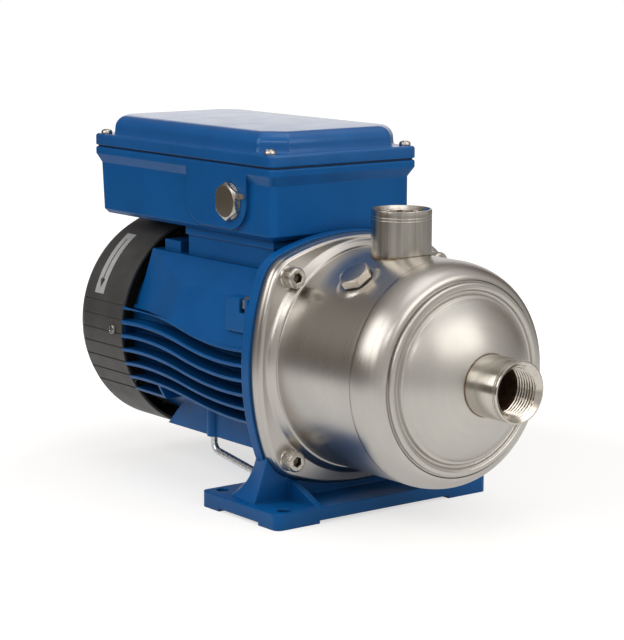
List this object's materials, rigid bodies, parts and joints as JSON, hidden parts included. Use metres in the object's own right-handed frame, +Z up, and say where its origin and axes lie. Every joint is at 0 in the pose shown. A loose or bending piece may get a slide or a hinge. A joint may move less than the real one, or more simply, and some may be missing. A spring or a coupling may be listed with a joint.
{
  "type": "multistage booster pump",
  "caption": "Close-coupled horizontal pump with a domed steel casing, threaded ports at the front and top, a finned motor, a terminal box and a foot.",
  "frame": {"origin": "centre of the foot's bolt pattern, on the underside of the foot's pads", "axes": "+X along the shaft towards the suction port, +Z up, -Y towards the side with the cable entry plug"},
  "size_m": [0.3837, 0.1786, 0.2479],
  "materials": {
    "stainless": "satin brushed stainless steel",
    "blue_paint": "glossy blue paint",
    "black_plastic": "matte black",
    "zinc": "bright zinc plating",
    "nickel": "bright nickel",
    "rubber": "black rubber",
    "label": "printed silver foil",
    "copper": "enamelled copper wire",
    "core_steel": "laminated steel",
    "carbon": "carbon and ceramic seal"
  },
  "bodies": {
    "frame": {"pump_casing": "stainless", "casing_end_cap": "stainless", "suction_port": "stainless", "discharge_port": "stainless", "casing_plugs": "nickel", "plug_seals": "rubber", "casing_screws": "zinc", "casing_washers": "zinc", "seal_plate": "stainless", "mechanical_seal": "carbon", "stage_casing_1": "stainless", "stage_casing_2": "stainless", "stage_casing_3": "stainless", "inlet_cover": "stainless", "adapter_bracket": "blue_paint", "frame_screws": "zinc", "motor_frame": "blue_paint", "stator_core": "core_steel", "stator_windings": "copper", "drive_bearing": "zinc", "rear_bearing": "zinc", "rear_end_shield": "blue_paint", "fan_cover": "black_plastic", "fan_cover_screws": "zinc", "direction_label": "label", "terminal_box": "blue_paint", "terminal_box_gasket": "rubber", "terminal_box_lid": "blue_paint", "lid_screws": "zinc", "cable_entry_plug": "nickel", "cable_plug_washer": "zinc", "terminal_block": "black_plastic", "run_capacitor": "black_plastic", "box_screws": "zinc", "support_wire": "zinc"},
    "rotor": {"pump_shaft": "stainless", "impeller_nut": "zinc", "impeller_1": "stainless", "impeller_2": "stainless", "impeller_3": "stainless", "rotor_core": "core_steel", "cooling_fan": "black_plastic"}
  },
  "joints": [
    {"name": "shaft_spin", "type": "hinge", "parent": "frame", "child": "rotor", "pos_m": [0, 0, 0.1], "axis": [1, 0, 0], "continuous": true}
  ]
}
